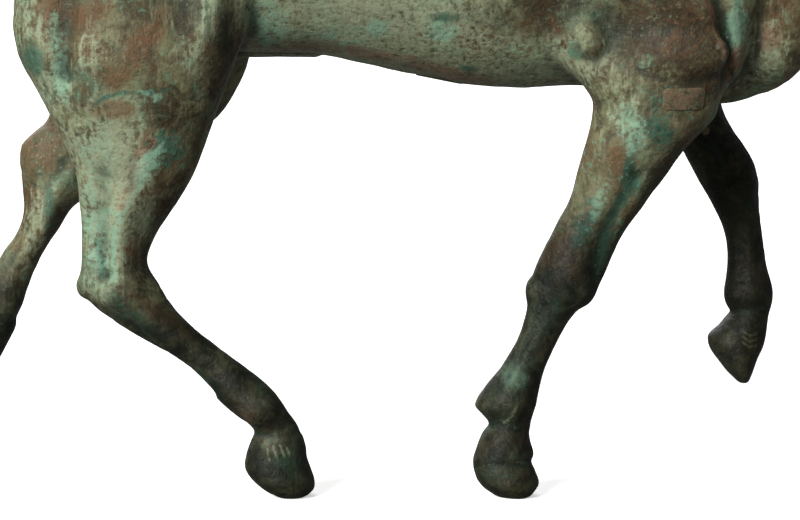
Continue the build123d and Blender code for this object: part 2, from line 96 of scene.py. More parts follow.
LEFT_FORE = (
    (244, 112, 154, 12), (230, 107, 166, 20), (215, 112, 168, 23), (202, 124, 168, 20.5),
    (192, 134, 169.5, 18.5), (185, 139, 172.8, 17), (179, 143.2, 176.5, 16), (173, 147, 181.2, 15.2),
    (166.5, 150.8, 185.4, 14.8), (154, 157.5, 189, 13.6), (141, 165.4, 189.7, 12.2),
    (128.6, 170.7, 191.2, 10.6), (116, 173.3, 192.8, 9.8), (109, 173.3, 194, 9.6),
    (103, 172.8, 195.9, 10.4), (96, 171.8, 197.6, 11.2), (90.7, 172.2, 197.5, 11.4),
    (83, 176, 195.7, 11),
)
LEFT_FORE_HOOF = (
    (87, 177.5, 195.3, 10.6), (82, 173.3, 195.5, 12.2), (78, 170, 195.2, 13.2),
    (71.7, 163.6, 194.4, 14.6), (66, 164.2, 193, 15.4), (59, 168.5, 189.6, 15), (53, 173.3, 187.5, 13),
    (46.5, 180, 185, 7),
)
LEFT_HIND = (
    (256, -172, -98, 16), (243, -184, -84, 24), (230, -186, -80, 29.5), (215, -184, -81, 29),
    (200, -183, -87, 27), (190, -184, -93.5, 24.5), (184.4, -187, -99.5, 22.5), (179, -194, -108, 20.5),
    (173, -199.6, -118.5, 18.5), (166.5, -200.8, -130, 16.8), (160, -200.2, -141, 15.4),
    (150, -199.4, -157, 13.8), (141, -198.6, -171.3, 12.6), (128.6, -201.7, -180.1, 10.6),
    (116, -210, -188.4, 9.4), (106, -216, -193.5, 9.2), (97, -221.5, -197, 10.4),
    (88, -225.5, -200, 11.4), (79, -227, -205, 11.2),
)
LEFT_HIND_HOOF = (
    (83, -227, -204, 10.8), (77, -228.5, -204, 12.4), (68, -238.5, -208.5, 14),
    (58, -244, -213.5, 15.4), (50, -245.5, -219, 15.4), (43, -243.5, -226, 13), (38, -240, -231, 8),
)
# Upright cuts through the trunk: place along the horse, underside, top and half the width.
TRUNK = (
    (-180, 262, 346, 28), (-150, 236, 374, 49), (-120, 226, 386, 58), (-77, 223, 382, 61),
    (-38, 221.5, 373, 63), (-13, 216, 369, 64.5), (13, 210.5, 368, 65.5), (38, 206, 369, 66),
    (64, 205, 373, 64), (90, 206, 381, 60), (120, 204, 389, 54), (150, 199, 386, 48),
    (166, 196.5, 376, 44), (182, 200.5, 358, 38.5), (196, 207, 334, 32), (207, 220, 308, 20),
)
# Rings round a bent limb: x, z, half the depth in the side view, half the width across.
NECK = (
    (150, 318, 72, 46), (166, 360, 64, 40), (184, 405, 53, 32), (203, 447, 43.5, 26),
    (224, 480, 36, 22), (246, 499, 31, 20), (262, 507, 24, 17),
)
DOCK = (
    (-155, 328, 14, 14), (-175, 341, 12, 12), (-194, 349, 11.5, 11.5), (-206, 352, 11.5, 11.5),
)
POLL = (244.0, 511.0)  # where the head's axis starts, in the side view
HEAD_DROP = math.radians(50)
# Cuts across the head: distance along its axis, from the axis out to the forehead, depth and width.
HEAD = (
    (-6, 14, 17, 14), (14, 22, 28, 20), (38, 23.5, 34, 21), (62, 22.5, 27, 16.5), (88, 20, 20, 13.5),
    (114, 18.5, 18, 13.5), (134, 17, 16.5, 13.5), (146, 12, 11.5, 10),
)
# Rings of hair and ears: x, z, half the depth in the side view, half the width, and y.
TAIL = (
    (-194, 349, 11.5, 11.5, 0), (-203, 351.5, 12, 12, 0), (-216, 351, 13, 12.5, 0),
    (-240, 338, 15.5, 14, 0), (-262, 309, 18, 15, -1), (-279, 268, 19.5, 16, -2),
    (-293, 222, 19.5, 15.5, -1), (-307, 178, 17, 13, 2), (-322, 140, 11.5, 9.5, 4),
    (-336, 114, 5, 5, 3), (-342, 105, 1.2, 1.2, 2),
)
MANE = (
    (120, 396, 5, 3.5, 0), (126, 410, 9, 4.5, 0), (139, 431, 10, 5, 0), (152, 449, 10.5, 5, 0),
    (168, 469, 10.5, 5, 0), (183, 487, 10.5, 5, 0), (199, 504, 10.5, 5, 0), (213, 517, 10, 5, 0),
    (226, 525, 8, 4.5, 0), (236, 528, 5, 3.5, 0),
)
FORELOCK = (
    (240, 526, 5, 5, 0), (250, 530, 6.5, 7.5, 0), (264, 525, 6.5, 9, 0), (277, 513, 6, 8.5, -1),
    (288, 499, 5, 6.5, -2), (297, 485, 2.5, 3, -3), (300, 479, 0.8, 0.8, -3),
)
RIGHT_EAR = (
    (245, 511, 6, 4.5, -9.5), (249, 522, 7.8, 5.8, -12.5), (252, 532, 7, 5.2, -15.5),
    (255, 541, 4.6, 3.6, -18), (257.5, 548.5, 1.2, 1, -20),
)
LEFT_EAR = [(x, z, depth, width, -y) for x, z, depth, width, y in RIGHT_EAR]


def head_point(along, out, y=0.0):
    """A place on the head, down its axis, out to the forehead and to the side."""
    x = POLL[0] + along * math.cos(HEAD_DROP) + out * math.sin(HEAD_DROP)
    z = POLL[1] - along * math.sin(HEAD_DROP) + out * math.cos(HEAD_DROP)
    return x, y, z


def head_line(*places):
    """Places on the head as a line of points."""
    return [head_point(*place) for place in places]


# ---- clay: solids that melt together
VOXEL = 1.0
BLOCK = 8  # voxels along a side of a block of the grid
FAR = 60.0
clay = []  # (lowest corner, highest corner, distance function, softness, +1 to add or -1 to cut)


def smooth_min(a, b, k):
    """The lesser of two distances, rounded where they are closer than k."""
    h = np.clip(0.5 + 0.5 * (b - a) / k, 0, 1)
    return b + (a - b) * h - k * h * (1 - h)


def table_at(table, t):
    """The columns of a table at t, on a smooth curve through its rows, which rise with t."""
    table = np.asarray(table, float)
    t = np.clip(t, table[0, 0], table[-1, 0])
    slope = np.gradient(table[:, 1:], table[:, 0], axis=0)
    i = np.clip(np.searchsorted(table[:, 0], t) - 1, 0, len(table) - 2)
    step = table[i + 1, 0] - table[i, 0]
    u = (t - table[i, 0]) / step
    start, end = table[i, 1:], table[i + 1, 1:]
    u, step = u[..., None], step[..., None]
    curve = (2 * u**3 - 3 * u**2 + 1) * start + (3 * u**2 - 2 * u**3) * end
    return curve + step * ((u**3 - 2 * u**2 + u) * slope[i] + (u**3 - u**2) * slope[i + 1])


def put(low, high, distance, softness, sign=1):
    """Add a solid to the clay, or cut it out if the sign is -1."""
    clay.append((np.array(low, float), np.array(high, float), distance, softness, sign))


def sliced(table, axis, side_place, softness, power=2.0, round_end=3.0):
    """A limb or a trunk given by flat cuts along one axis (0 or 2)."""
    table = np.array(sorted(table), float)
    other = 2 - axis

    def distance(p):
        cut = table_at(table, p[..., axis])
        low, high, width = cut[..., 0], cut[..., 1], cut[..., 2]
        half = (high - low) / 2
        u = np.abs(p[..., other] - (high + low) / 2) / half
        v = np.abs(p[..., 1] - side_place) / width
        reach = (u**power + v**power) ** (1 / power)
        skin = (reach - 1) * np.minimum(half, width)
        ends = np.maximum(table[0, 0] - p[..., axis], p[..., axis] - table[-1, 0])
        return -smooth_min(-skin, -ends, round_end)

    low, high = np.zeros(3), np.zeros(3)
    low[axis], high[axis] = table[0, 0], table[-1, 0]
    low[other], high[other] = table[:, 1].min(), table[:, 2].max()
    low[1], high[1] = side_place - table[:, 3].max(), side_place + table[:, 3].max()
    put(low, high, distance, softness)


def ring_run(rings, count):
    """Rings on a smooth curve through the given ones, this many between each two."""
    rings = np.array(rings, float)
    rows = np.column_stack([np.arange(len(rings)), rings])
    return table_at(rows, np.linspace(0, len(rings) - 1, (len(rings) - 1) * count + 1))


def bent(rings, softness, count=5):
    """A limb round a bent line in the side view, with an oval section, in the middle plane."""
    rings = ring_run(rings, count)

    def distance(p):
        best = np.full(p.shape[:-1], FAR)
        for (x0, z0, d0, w0), (x1, z1, d1, w1) in zip(rings[:-1], rings[1:]):
            run = np.array([x1 - x0, z1 - z0])
            length = np.hypot(*run)
            run = run / length
            dx, dz = p[..., 0] - x0, p[..., 2] - z0
            s = np.clip((dx * run[0] + dz * run[1]) / length, 0, 1)
            depth, width = d0 + (d1 - d0) * s, w0 + (w1 - w0) * s
            past = dx * run[0] + dz * run[1] - s * length
            across = dz * run[0] - dx * run[1]
            u = np.sqrt(across**2 + past**2) / depth
            v = p[..., 1] / width
            best = np.minimum(best, (np.sqrt(u**2 + v**2) - 1) * np.minimum(depth, width))
        return best

    reach = rings[:, 2].max()
    wide = rings[:, 3].max()
    low = (rings[:, 0].min() - reach, -wide, rings[:, 1].min() - reach)
    high = (rings[:, 0].max() + reach, wide, rings[:, 1].max() + reach)
    put(low, high, distance, softness)


def egg(centre, radii, pitch=0.0, softness=10.0, sign=1):
    """An oval lump. Pitch turns it in the side view and lifts its front."""
    centre, radii = np.array(centre, float), np.array(radii, float)
    cos, sin = math.cos(math.radians(pitch)), math.sin(math.radians(pitch))
    axes = np.array([[cos, 0, sin], [0, 1, 0], [-sin, 0, cos]])

    def distance(p):
        q = (p - centre) @ axes.T
        near = np.sqrt(((q / radii) ** 2).sum(-1))
        steep = np.sqrt(((q / radii**2) ** 2).sum(-1))
        return near * (near - 1) / np.maximum(steep, 1e-6)

    put(centre - radii.max(), centre + radii.max(), distance, softness, sign)


def cord(points, radii, softness=5.0, sign=1):
    """A round cord through points, with one radius or a radius at each of them."""
    points = np.array(points, float)
    radii = np.broadcast_to(np.asarray(radii, float), len(points))

    def distance(p):
        best = np.full(p.shape[:-1], FAR)
        for a, b, ra, rb in zip(points[:-1], points[1:], radii[:-1], radii[1:]):
            ab = b - a
            s = np.clip(((p - a) @ ab) / (ab @ ab), 0, 1)
            gap = np.linalg.norm(p - a - s[..., None] * ab, axis=-1)
            best = np.minimum(best, gap - ra - (rb - ra) * s)
        return best

    put(points.min(0) - radii.max(), points.max(0) + radii.max(), distance, softness, sign)


def pair(shape, place, *rest, **named):
    """The same lump or cord on both sides of the horse, from the one on its left."""
    for side in (RIGHT, LEFT):
        shape(np.array(place) * (1, side, 1), *rest, **named)


def field(blocks):
    """Distance to the clay's surface at blocks of points (block, point, 3), negative inside."""
    centre = blocks.mean(1)
    reach = np.abs(blocks - centre[:, None]).max(1)
    out = np.full(blocks.shape[:2], FAR)
    for low, high, distance, softness, sign in clay:
        margin = softness + 4
        near = ((centre + reach > low - margin) & (centre - reach < high + margin)).all(1)
        if near.any():
            d = distance(blocks[near])
            out[near] = sign * smooth_min(sign * out[near], d, softness)
    return out


def field_at(points, group=64):
    """The same for a plain list of points."""
    spare = -len(points) % group
    padded = np.concatenate([points, np.repeat(points[-1:], spare, 0)])
    return field(padded.reshape(-1, group, 3)).ravel()[: len(points)]


# ---- anatomy
def legs():
    """Legs and hooves from their outlines."""
    for side, limb, hoof in (
        (RIGHT, RIGHT_HIND, RIGHT_HIND_HOOF),
        (RIGHT, RIGHT_FORE, RIGHT_FORE_HOOF),
        (LEFT, LEFT_FORE, LEFT_FORE_HOOF),
        (LEFT, LEFT_HIND, LEFT_HIND_HOOF),
    ):
        sliced(limb, 2, side * LEG_SPREAD, softness=9)
        sliced(hoof, 2, side * LEG_SPREAD, softness=1.2, round_end=1.5)


def side_of(table, x, z):
    """How far a leg's side is from the leg's middle plane, at a place in the side view."""
    low, high, width = table_at(sorted(table), np.array(float(z)))
    u = (x - (low + high) / 2) / ((high - low) / 2)
    return width * math.sqrt(max(1 - u * u, 0))


END_FADE = 0.2  # share of a tendon's height that is left at its ends


def tendon(table, side, points, radius, height, softness=4.0):
    """A ridge of this height along both faces of a leg, or a groove if the height is negative."""
    sign = 1 if height > 0 else -1
    for face in (RIGHT, LEFT):
        line = []
        for x, z in points:
            fade = END_FADE if (x, z) in (points[0], points[-1]) else 1
            out = side_of(table, x, z) + fade * height - sign * radius
            line.append((x, side * LEG_SPREAD + face * out, z))
        cord(line, radius, softness, sign)


def knob(side, x, z, radii, spread=0.0, softness=4.0, pitch=0.0):
    """A bone under the skin of a leg, as one lump or as one on each face."""
    for face in (RIGHT, LEFT) if spread else (RIGHT,):
        egg((x, side * LEG_SPREAD + face * spread, z), radii, pitch, softness)


def hind_leg_details():
    """Shins with a hollow behind them, hocks, tendons and fetlocks."""
    shin = [(-123, 172), (-131, 158), (-138, 145), (-142, 128), (-141, 112), (-130, 97), (-114, 81)]
    tendon(RIGHT_HIND, RIGHT, shin, 5.5, 1.5, softness=6)
    hollow = [(-150, 162), (-151.5, 145), (-151.5, 130), (-150, 115)]
    tendon(RIGHT_HIND, RIGHT, hollow, 5, -1.1, softness=9)
    tendon(RIGHT_HIND, RIGHT, [(-135, 87), (-113, 68), (-95, 53)], 2, -1.0, softness=2.5)
    knob(RIGHT, -158, 106, (4.2, 6.5, 5), softness=3)
    knob(RIGHT, -140, 104, (9, 5, 8), spread=10)
    knob(RIGHT, -71, 45, (8, 4, 7), spread=9)
    shin = [(-132, 188), (-150, 176), (-168, 164), (-179, 150), (-188, 130)]
    tendon(LEFT_HIND, LEFT, shin, 3.2, 1.5, softness=4.5)
    tendon(LEFT_HIND, LEFT, [(-197, 130), (-205, 112), (-212, 98)], 2, -0.9, softness=2.5)
    knob(LEFT, -186, 163, (9, 5, 9), spread=10)
    knob(LEFT, -211, 88, (8, 4, 7), spread=8)


def fore_leg_details():
    """Forearm muscles and the groove between them, knees, tendons and fetlocks."""
    egg((121, -50, 182), (12, 9, 26), pitch=-62, softness=8)
    tendon(RIGHT_FORE, RIGHT, [(117, 162), (106, 143), (100.5, 128), (99, 114)], 3, -1.3, softness=6)
    tendon(RIGHT_FORE, RIGHT, [(71, 97), (61, 78), (54, 63)], 2, -1.0, softness=2.5)
    knob(RIGHT, 85, 112, (10, 7, 11), spread=7.5)
    knob(RIGHT, 92, 104, (5, 9, 7), softness=5)
    knob(RIGHT, 67, 104.5, (3.6, 6.5, 6), softness=3)
    knob(RIGHT, 56, 49, (8, 4, 6), spread=9)
    tendon(LEFT_FORE, LEFT, [(158, 182), (167, 168), (172, 154)], 2.6, -1.3, softness=4)
    tendon(LEFT_FORE, LEFT, [(178, 132), (179.5, 116), (180, 102)], 2, -0.8, softness=2.5)
    knob(LEFT, 178, 151, (9, 7, 11), spread=7)
    knob(LEFT, 184, 95, (8, 4, 6), spread=8.5)


def trunk():
    """Barrel, haunches, shoulders and breast."""
    sliced(TRUNK, 0, 0.0, softness=12, power=2.2, round_end=12)
    pair(egg, (-128, 25, 336), (62, 38, 46), softness=16)
    pair(egg, (-137, 37, 268), (55, 31, 74), softness=14)
    pair(egg, (-171, 24, 308), (24, 26, 46), softness=12)
    pair(egg, (-97, 43, 236), (17, 21, 36), pitch=-15, softness=9)
    pair(egg, (151, 30, 318), (34, 24, 74), pitch=28, softness=16)
    pair(egg, (142, 38, 252), (36, 28, 42), softness=14)
    pair(egg, (120, 42, 268), (44, 20, 28), pitch=-35, softness=12)
    pair(egg, (190, 19, 247), (24, 26, 38), softness=8)
    bent(DOCK, softness=10)


def trunk_details():
    """Grooves of the shoulder and breast, elbows, ribs, the sheath, back and withers."""
    pair(cord, [(150, 68, 268), (158, 63, 246), (162, 57, 228), (164, 50, 208)], 4, 6, -1)
    pair(cord, [(118, 69, 217), (136, 70, 210), (158, 62, 213)], 2.4, 6, -1)
    pair(cord, [(88, 56, 236), (92, 57, 229), (96, 57.5, 220)], 2.6, 3.5, -1)
    pair(cord, [(90, 54, 237), (96, 55, 228)], 2, 4)
    pair(egg, (138, 57, 224), (24, 9, 11), pitch=4, softness=6)
    pair(egg, (91, 44, 234), (12, 9, 16), pitch=25, softness=14)
    pair(cord, [(-77, 66, 262), (-80, 62, 244), (-81, 56, 228)], 4, 8, -1)
    haunch = [(-170, 58, 318), (-165, 66, 285), (-164, 67, 250), (-166, 64, 215)]
    pair(cord, haunch, (2, 4, 4, 2), 12, -1)
    pair(cord, [(118, 62, 300), (100, 66, 276), (92, 68, 252)], 4, 9, -1)
    pair(cord, [(174, 47, 330), (160, 58, 300), (150, 68, 268)], 4, 9, -1)
    cord([(-90, 0, 224.5), (-62, 0, 225.2), (-44, 0, 224.8)], (4.4, 5, 4.4), softness=1.5)
    cord([(176, 0, 290), (192, 0, 262), (196, 0, 230)], 4, 9, -1)
    cord([(-170, 0, 384), (-120, 0, 391), (-60, 0, 380), (0, 0, 374), (60, 0, 378)], 3, 12, -1)
    pair(egg, (-104, 48, 362), (17, 9, 10), softness=18)


def neck_and_head():
    """Neck, skull, cheeks, eyes, nostrils and mouth."""
    bent(NECK, softness=16)
    pair(cord, [(186, 42, 330), (206, 36, 380), (224, 27, 425), (238, 20, 462)], 4.5, 9, -1)
    pair(cord, [(140, 40, 400), (170, 33, 430), (196, 28, 464)], 5, 12, -1)
    skull = []
    for along, front, depth, width in HEAD:
        x, _, z = head_point(along, front - depth)
        skull.append((x, z, depth, width))
    bent(skull, softness=8)
    pair(egg, head_point(34, -12, 12), (25, 11, 22), pitch=-50, softness=5)
    pair(cord, head_line((46, 4, 17.5), (64, 2, 15), (84, 0, 12.5)), 2.4, 5)
    pair(egg, head_point(32, 15.5, 12.6), (9.5, 6.5, 6), pitch=-45, softness=5)
    pair(egg, head_point(35, 9, 21), (8, 3.4, 5.4), pitch=-45, softness=2.5, sign=-1)
    pair(egg, head_point(35, 9, 16.6), (6, 4.3, 4.2), pitch=-45, softness=0.3)
    for rise, radius in ((4.2, 1.6), (-4, 1.2)):
        middle = (32, 9.2 + rise, 19.6), (38, 8.8 + rise, 19.2)
        lid = head_line((27.5, 9.5, 18.6), *middle, (43, 8.5, 17.6))
        pair(cord, lid, (0.7 * radius, radius, radius, 0.7 * radius), softness=1.6)
    pair(egg, head_point(127, 6, 9), (9, 6.5, 8), pitch=-40, softness=4)
    pair(egg, head_point(128, 8, 15), (5, 5, 3.2), pitch=-15, softness=2, sign=-1)
    pair(cord, head_line((118, -11, 13), (130, -10.5, 13), (141, -8, 9)), 1.5, 2, -1)
    cord(head_line((141, -8, 9), (146, -7, 0), (141, -8, -9)), 1.5, 2, -1)
    egg(head_point(132, -14), (9, 9, 5.5), pitch=-50, softness=4)
    cord(head_line((50, -26), (75, -20), (100, -17)), 3, 6, -1)
    for side in (RIGHT, LEFT):
        cord([(245, 9.5 * side, 512), (247, 11.5 * side, 518)], 6.5, softness=5)


def sockets():
    """Tight holes for the stud bushes under the hooves that reach the ground."""
    for node in ("right_fore_stud_bush", "right_hind_stud_bush"):
        low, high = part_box(node)
        middle = (low + high) / 2 / MM
        radius = (high.x - low.x) / 2 / MM - 0.3
        cord([(middle.x, middle.y, -20), (middle.x, middle.y, high.z / MM - radius)], radius, 0.5, -1)


legs()
trunk()
neck_and_head()
hind_leg_details()
fore_leg_details()
trunk_details()
sockets()


# ---- small shapes on top of the clay
LATTICE = np.random.default_rng(7).uniform(-1, 1, (32, 32, 32))


def noise(points, size, shift=0.0):
    """Smooth random numbers from -1 to 1 over space, with lumps of this size."""
    q = points / size + shift
    cell = np.floor(q).astype(int)
    u = q - cell
    u = u * u * (3 - 2 * u)
    total = np.zeros(len(points))
    for corner in itertools.product((0, 1), repeat=3):
        weight = np.abs(1 - np.array(corner) - u).prod(1)
        x, y, z = ((cell + corner) % 32).T
        total += weight * LATTICE[x, y, z]
    return total


def unit(v):
    """A vector of length one in the same direction."""
    return np.asarray(v, float) / np.linalg.norm(v)


def normals_of(points, quads):
    """The way out of the surface at its points."""
    across = points[quads[:, 2]] - points[quads[:, 0]]
    down = points[quads[:, 3]] - points[quads[:, 1]]
    facing = np.cross(across, down)
    total = np.zeros_like(points)
    for column in range(4):
        np.add.at(total, quads[:, column], facing)
    return total / np.maximum(np.linalg.norm(total, axis=1, keepdims=True), 1e-9)


# ---- patina painted in places, with a few painted shadows and highlights among it
# The brown kind also paints shade in a few places, and the pale and pink kinds paint a few highlights.
KINDS = ("mint", "teal", "rust", "umber_and_shade", "copper_and_highlight", "ash_and_highlight")
# Spots of each kind: x, z, half the length, half the height, lean in degrees and strength.
NEAR_SPOTS = {
    "mint": (
        (-168, 222, 4, 22, 6, 0.9), (-126, 203.5, 12, 3, 0, 0.7), (-124, 170, 12, 6, 55, 0.6),
        (-150, 145, 12, 38, 0, 0.45), (-122.5, 173.5, 3.5, 3.5, 0, 1), (-155, 160, 5, 34, 0, 0.6),
        (48.5, 230, 2, 1.6, 0, 1), (-67, 230, 4, 3, 20, 1), (-35, 232, 6, 3, 0, 0.9),
        (-25, 228, 7, 3, 0, 0.9), (-11, 236, 6, 5, 0, 0.8), (21, 235, 8, 5, 0, 0.7),
        (-66, 240, 12, 12, 20, 0.9), (-40, 233, 34, 6, -3, 0.35), (60, 225, 30, 7, 2, 0.35),
        (121, 221, 5, 3, 30, 0.9), (166, 240, 5, 13, 0, 1), (114, 188, 7, 14, 10, 0.8),
        (100, 152, 4, 12, -20, 0.7), (57, 62, 7, 7, 0, 0.5),
    ),
    "teal": (
        (-182, 222, 7, 9, 0, 0.9), (-116, 177, 9, 10, -20, 0.8), (-130, 92, 18, 5, -38, 0.7),
        (-98, 60, 18, 4, -42, 0.9), (-60, 16, 10, 6, 0, 0.7), (24, 242, 9, 2.5, 0, 0.8),
        (34, 215.5, 5, 2, 0, 0.9), (87, 225, 4, 5, 0, 0.9), (133, 201, 12, 8, 0, 0.6),
        (129, 187, 8, 10, 0, 1), (113, 166, 2.6, 11, -10, 1), (92, 140, 5, 14, -20, 0.8),
        (75, 90, 4, 20, -24, 0.8), (52, 20, 10, 8, 0, 0.6),
    ),
    "rust": (
        (-160, 246, 18, 8, 0, 0.9), (-128, 228, 7, 29, -38, 1), (-142, 197, 11, 5, 0, 1),
        (-135, 127.5, 4, 5, 0, 1), (-148.5, 114, 3.5, 4, 0, 1), (-117, 91, 22, 4, -38, 0.8),
        (72, 236, 18, 8, 0, 0.4), (-50, 226, 30, 4, 0, 0.7), (136, 237, 26, 17, 0, 0.45),
        (109, 170, 8, 13, -10, 1), (85, 114, 7, 6, 0, 1), (76, 124, 5, 10, -20, 0.7),
        (66, 45, 4, 10, 0, 0.8),
    ),
    "umber_and_shade": (
        # The brown spot at x -89, z 218 below paints the shade in the fold between the belly and the
        # front of the thigh.
        (-105, 243, 7, 12, -20, 1), (-89, 218, 9, 36, -8, 1), (-111, 197, 14, 11, 0, 1),
        (-133, 160, 3.5, 9, -20, 0.6), (-130, 122, 7, 24, 4, 1), (-118, 148, 7, 20, -32, 0.9),
        (-84, 60, 16, 4, -50, 0.9), (66, 246, 30, 13, 0, 0.8), (132, 236, 34, 24, 0, 1.2),
        # The brown spot at x 84, z 122 below, over the knee, is partly painted shade and partly dark
        # patina.
        (84, 122, 20, 26, -20, 0.7), (108, 242, 3, 5, 0, 1), (116.5, 225, 3.5, 3.5, 0, 1),
        # Two brown spots below, at x 94 and 96 by z 226, paint the shadow under the point of the elbow.
        (130, 222.5, 6, 2.5, 0, 1), (94, 226, 3, 7, -30, 1), (96, 226, 5, 9, 0, 0.9),
        (136, 212, 22, 9, -6, 0.8), (131, 165, 6, 20, -32, 1), (58, 84, 4, 26, -26, 0.8),
    ),
    "copper_and_highlight": (
        (-124, 180, 4, 4, 0, 1), (-128, 176, 5, 2, 45, 0.9), (-133, 160, 5, 13, -20, 0.45),
        (-138, 148.5, 1.6, 1.6, 0, 1), (-79, 42, 6, 7, 0, 0.7), (168, 222, 6, 7, 0, 0.8),
        (181, 232, 9, 7, 0, 0.6),
    ),
    "ash_and_highlight": (
        (-176, 215, 13, 44, 12, 0.7), (-160, 165, 9, 34, 8, 0.8), (-150, 226, 10, 10, 0, 0.5),
        (-150, 108, 10, 9, 0, 0.8), (-66, 30, 6, 4, 0, 0.5), (-20, 234, 84, 34, -6, 1.05),
        (60, 220, 50, 18, 0, 0.9), (-142, 160, 17, 44, 0, 1.3), (178, 222, 16, 18, 0, 0.7),
        # Two pale spots below, at x 91, z 234 and x 90, z 233, paint the highlight on the point of the
        # elbow.
        (91, 234, 4, 2.5, -40, 1), (108, 204, 12, 22, 0, 0.45), (90, 233, 5, 6, 0, 0.9),
    ),
}
FAR_SPOTS = {
    "teal": ((-184, 138, 3.5, 14, 0, 0.9), (184, 150, 5, 16, 0, 0.5)),
    "rust": ((-188, 173, 13, 16, 0, 1),),
    # The big brown spot at x 175, z 140 covers the far left fore leg: partly dark patina, partly a
    # painted shadow of the body.
    "umber_and_shade": ((-186, 110, 5, 40, -22, 0.9), (175, 140, 30, 80, 0, 1)),
    "copper_and_highlight": ((-192, 178, 7, 6, 0, 0.5),),
    "ash_and_highlight": ((-190, 138, 7, 30, -14, 0.7),),
}
# Strokes of each kind: half the width, strength and points in the side view.
NEAR_STROKES = {
    "mint": (
        (1.3, 1, ((-121, 174), (-130, 157), (-137, 146), (-141.5, 135), (-143, 122), (-143, 112))),
        (0.9, 0.9, ((-148, 146), (-151, 132), (-151, 122), (-148, 112))),
    ),
    "teal": (
        (1, 0.9, ((-150, 199), (-145, 203), (-136, 205.5), (-126, 205), (-112, 207))),
        (2.6, 1, ((116, 160), (105, 143), (100.5, 128), (99, 114))),
        (1.6, 0.9, ((-151, 130), (-148, 115))),
    ),
    "umber_and_shade": (
        # This brown stroke paints the shade in the groove between the shoulder and the breast.
        (2.4, 1, ((154, 252), (160, 232), (165, 212))),
        (2, 0.9, ((118, 216), (136, 208), (156, 213))),
        (0.9, 1, ((45, 37.5), (52, 36), (58, 35.5))),
    ),
    "copper_and_highlight": (
        (1.4, 0.5, ((-125, 186), (-126, 180), (-124, 176))),
        # This pink stroke paints the highlight beside the groove between the shoulder and the breast.
        (1.6, 0.9, ((150, 252), (157, 232), (163, 212))),
        (3, 0.8, ((-24, 225), (5, 219), (25, 213), (44, 208))),
        (1, 0.8, ((-82, 49), (-78, 44), (-74.5, 36))),
    ),
    "ash_and_highlight": (
        (0.5, 1, ((-66.6, 26), (-65.6, 20.5))),
        (0.5, 1, ((-63.7, 27.5), (-61.5, 21))),
        (0.5, 1, ((-60.2, 28), (-58, 22))),
        (0.5, 1, ((-56.8, 26.5), (-55.4, 23))),
        (0.6, 0.9, ((58.5, 48), (56, 42.5), (52, 39))),
        (0.6, 0.9, ((58.8, 19.5), (64.5, 17.8))),
    ),
}
# The far strokes are the chased arcs of hair above the far fore hoof.
FAR_STROKES = {
    "ash_and_highlight": [(0.6, 0.8, ((180, z), (184, z - 3), (188, z - 2))) for z in (76, 73, 70)],
}
SPOT_EDGE = 1.3  # where a spot has faded out, in half lengths and half heights
STROKE_EDGE = 1.6  # where a stroke has, in half widths
HOLLOW = 0.35  # depth of a hollow that is fully dark
RUBBED = (0.3, 0.6)  # height of a ridge where rubbing starts, and how much more until it is full
# Where a leg starts to darken towards the hoof, and over how much height: left fore, right fore, hind.
# The darkening is partly painted shade and partly darker patina; on the left fore, the far leg, it also
# stands for the shadow of the body.
DARKENING = ((215, 25), (165, 50), (120, 32))


def coverage(points, spots, strokes):
    """How much of each kind of patina is painted at points, with the few painted shadows and highlights
    among them, from their places in the side view.
    """
    cover = np.zeros((len(points), len(KINDS)))
    x, z = points[:, 0], points[:, 2]
    for column, kind in enumerate(KINDS):
        for px, pz, half_long, half_high, lean, strength in spots.get(kind, ()):
            cos, sin = math.cos(math.radians(lean)), math.sin(math.radians(lean))
            u = ((x - px) * cos + (z - pz) * sin) / (half_long * SPOT_EDGE)
            v = ((z - pz) * cos - (x - px) * sin) / (half_high * SPOT_EDGE)
            amount = strength * np.clip(1 - u * u - v * v, 0, 1)
            cover[:, column] = np.maximum(cover[:, column], amount)
        for half_wide, strength, line in strokes.get(kind, ()):
            for (x0, z0), (x1, z1) in zip(line[:-1], line[1:]):
                run = np.array([x1 - x0, z1 - z0])
                s = np.clip(((x - x0) * run[0] + (z - z0) * run[1]) / (run @ run), 0, 1)
                gap = np.hypot(x - x0 - s * run[0], z - z0 - s * run[1])
                amount = strength * np.clip(STROKE_EDGE - gap / half_wide, 0, 1)
                cover[:, column] = np.maximum(cover[:, column], amount)
    return cover


def hollowness(points, out, quads, passes):
    """How far the smoothed surface lies above each point: positive in hollows, negative on ridges."""
    a, b = quads.ravel(), np.roll(quads, 1, 1).ravel()
    count = len(points)
    shared = np.bincount(a, minlength=count) + np.bincount(b, minlength=count)
    soft = points.copy()
    for _ in range(passes):
        for i in range(3):
            total = np.bincount(a, soft[b, i], count) + np.bincount(b, soft[a, i], count)
            soft[:, i] = total / shared
    return ((soft - points) * out).sum(1)


